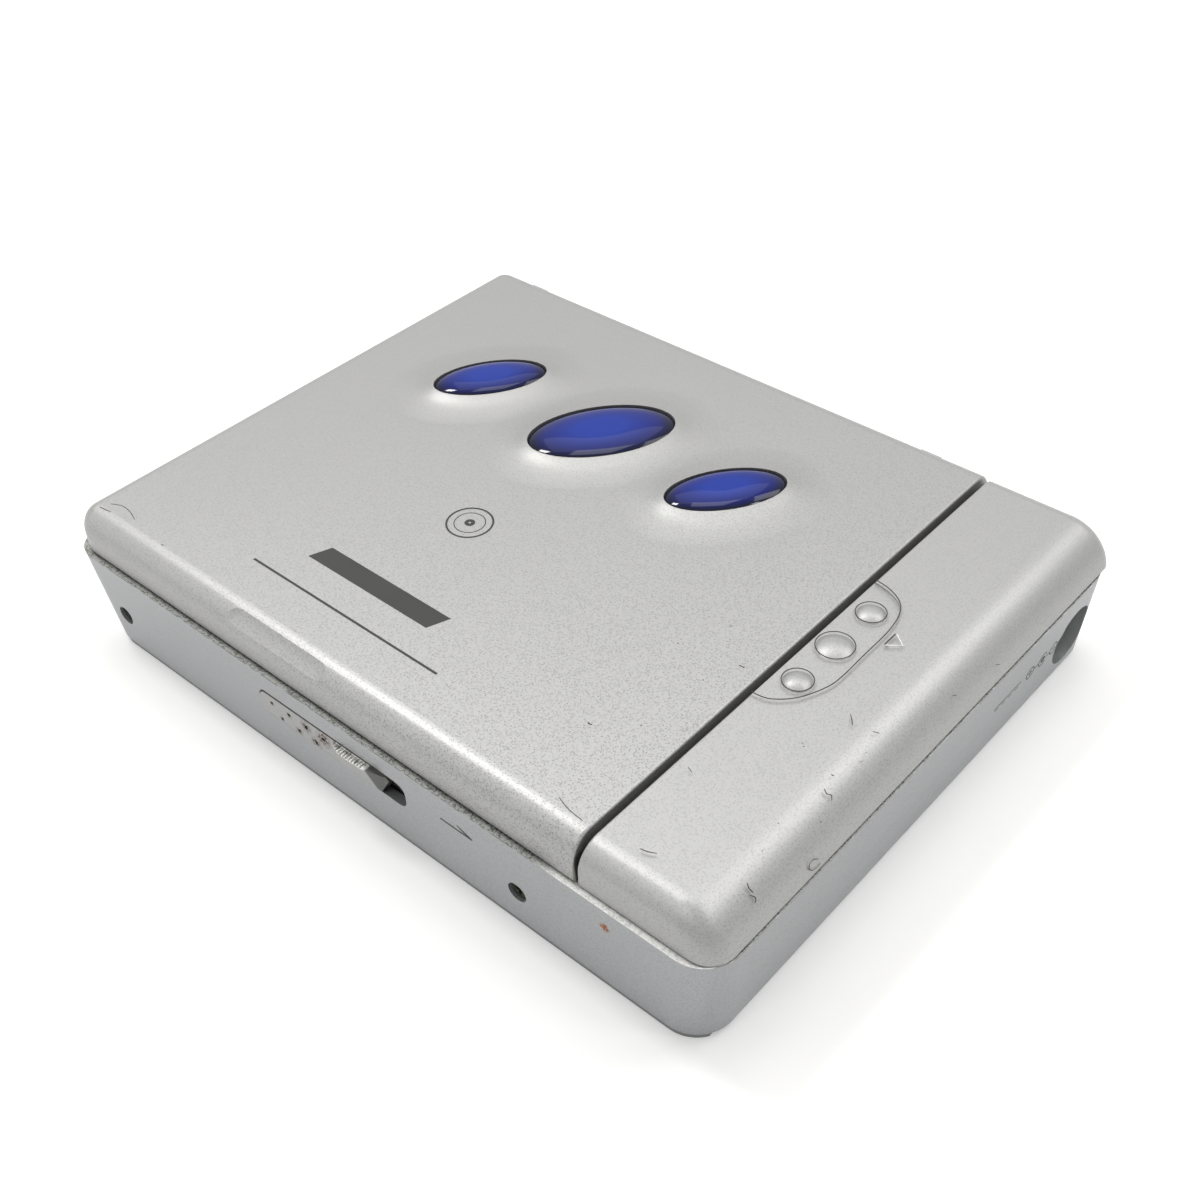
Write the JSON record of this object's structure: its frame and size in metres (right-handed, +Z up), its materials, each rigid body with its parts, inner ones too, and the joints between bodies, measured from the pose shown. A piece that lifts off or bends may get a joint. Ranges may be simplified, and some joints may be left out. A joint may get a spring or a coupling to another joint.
{
  "type": "portable minidisc player",
  "caption": "Pocket disc player: hinged lid with tip-up disc tray, oval gel keys, sliding lid opener, slide-off battery door, lead-screw pickup and a 3.5 mm socket.",
  "frame": {"origin": "middle of the flat underside", "axes": "+X towards the battery end, -Y towards the front wall with the lid opener, +Z up through the lid"},
  "size_m": [0.1038, 0.0812, 0.0202],
  "materials": {
    "silver_case": "satin silver paint on moulded plastic",
    "silver_lid": "satin silver paint on moulded plastic",
    "silver_door": "satin silver paint on moulded plastic",
    "silver_trim": "satin silver plastic",
    "blue_gel": "translucent deep blue, glossy",
    "dark_plastic": "dark grey moulding",
    "black_plastic": "black moulding",
    "white_plastic": "natural acetal",
    "steel_sheet": "bare pressed steel",
    "steel_parts": "turned steel",
    "nickel_plate": "bright nickel",
    "brass_parts": "turned brass",
    "soft_rubber": "soft black rubber",
    "board_green": "green solder mask",
    "lens_glass": "coated lens"
  },
  "bodies": {
    "case": {"lower_shell": "silver_case", "inner_frame": "dark_plastic", "chassis_plate": "steel_sheet", "dampers": "soft_rubber", "chassis_screws": "steel_parts", "spindle_motor": "steel_parts", "guide_rods": "steel_parts", "sled_motor": "steel_parts", "main_board": "board_green", "board_parts": "black_plastic", "side_switches": "black_plastic", "headphone_jack": "black_plastic", "dc_jack": "black_plastic", "battery_contacts": "nickel_plate", "battery_spring": "nickel_plate", "hinge_pins": "steel_parts", "side_screws": "nickel_plate", "slider_spring": "nickel_plate"},
    "lid": {"lid_shell": "silver_lid", "lid_liner": "dark_plastic", "lid_catches": "steel_sheet", "liner_screws": "steel_parts", "key_board": "board_green", "dome_switches": "nickel_plate"},
    "disc_holder": {"disc_holder": "steel_sheet"},
    "left_button": {"left_button": "blue_gel"},
    "middle_button": {"middle_button": "blue_gel"},
    "right_button": {"right_button": "blue_gel"},
    "battery_door": {"battery_door": "silver_door"},
    "opener": {"open_slider": "silver_trim", "latch_bar": "steel_sheet"},
    "turntable": {"turntable": "steel_parts"},
    "pickup": {"pickup_sled": "black_plastic", "pickup_lens": "lens_glass"},
    "lead_screw": {"lead_screw": "white_plastic"},
    "motor_pinion": {"motor_pinion": "brass_parts"},
    "volume_up_key": {"volume_up_key": "silver_trim"},
    "volume_down_key": {"volume_down_key": "silver_trim"},
    "hold_switch": {"hold_switch": "silver_trim"}
  },
  "joints": [
    {"name": "lid_hinge", "type": "hinge", "parent": "case", "child": "lid", "pos_m": [-0.0086, 0.0366, 0.0136], "axis": [-1, 0, 0], "range_deg": [0, 45]},
    {"name": "holder_hinge", "type": "hinge", "parent": "case", "child": "disc_holder", "pos_m": [-0.0086, 0.0366, 0.0136], "axis": [-1, 0, 0], "range_deg": [0, 22.5]},
    {"name": "left_button_press", "type": "slide", "parent": "lid", "child": "left_button", "axis": [0, 0, -1], "range_m": [0, 0.0003], "stiffness_N_per_m": 400, "springref_m": -0.0004, "deforming": ["dome_switches"]},
    {"name": "middle_button_press", "type": "slide", "parent": "lid", "child": "middle_button", "axis": [0, 0, -1], "range_m": [0, 0.0003], "stiffness_N_per_m": 400, "springref_m": -0.0004, "deforming": ["dome_switches"]},
    {"name": "right_button_press", "type": "slide", "parent": "lid", "child": "right_button", "axis": [0, 0, -1], "range_m": [0, 0.0003], "stiffness_N_per_m": 400, "springref_m": -0.0004, "deforming": ["dome_switches"]},
    {"name": "battery_door_slide", "type": "slide", "parent": "case", "child": "battery_door", "axis": [1, 0, 0], "range_m": [0, 0.018]},
    {"name": "opener_slide", "type": "slide", "parent": "case", "child": "opener", "axis": [1, 0, 0], "range_m": [0, 0.002], "stiffness_N_per_m": 120, "springref_m": -0.002, "deforming": ["slider_spring"]},
    {"name": "turntable_spin", "type": "hinge", "parent": "case", "child": "turntable", "pos_m": [-0.0086, -0.0018, 0.0075], "axis": [0, 0, 1], "continuous": true},
    {"name": "pickup_slide", "type": "slide", "parent": "case", "child": "pickup", "axis": [1, 0, 0], "range_m": [0, 0.016]},
    {"name": "lead_screw_turn", "type": "hinge", "parent": "case", "child": "lead_screw", "pos_m": [0, -0.0153, 0.0051], "axis": [1, 0, 0], "range_deg": [0, 2304]},
    {"name": "motor_pinion_turn", "type": "hinge", "parent": "case", "child": "motor_pinion", "pos_m": [-0.0058, -0.01955, 0.0051], "axis": [1, 0, 0], "range_deg": [-5529.6, 0]},
    {"name": "volume_up_key_press", "type": "slide", "parent": "case", "child": "volume_up_key", "axis": [0, -1, 0], "range_m": [0, 0.0004], "stiffness_N_per_m": 300, "springref_m": -0.0004},
    {"name": "volume_down_key_press", "type": "slide", "parent": "case", "child": "volume_down_key", "axis": [0, -1, 0], "range_m": [0, 0.0004], "stiffness_N_per_m": 300, "springref_m": -0.0004},
    {"name": "hold_switch_slide", "type": "slide", "parent": "case", "child": "hold_switch", "axis": [-1, 0, 0], "range_m": [0, 0.002]}
  ],
  "couplings": [
    {"joint": "holder_hinge", "follows": "lid_hinge", "ratio": 0.5},
    {"joint": "lead_screw_turn", "follows": "pickup_slide", "rad_per_m": 2513.3},
    {"joint": "motor_pinion_turn", "follows": "pickup_slide", "rad_per_m": -6031.9}
  ]
}
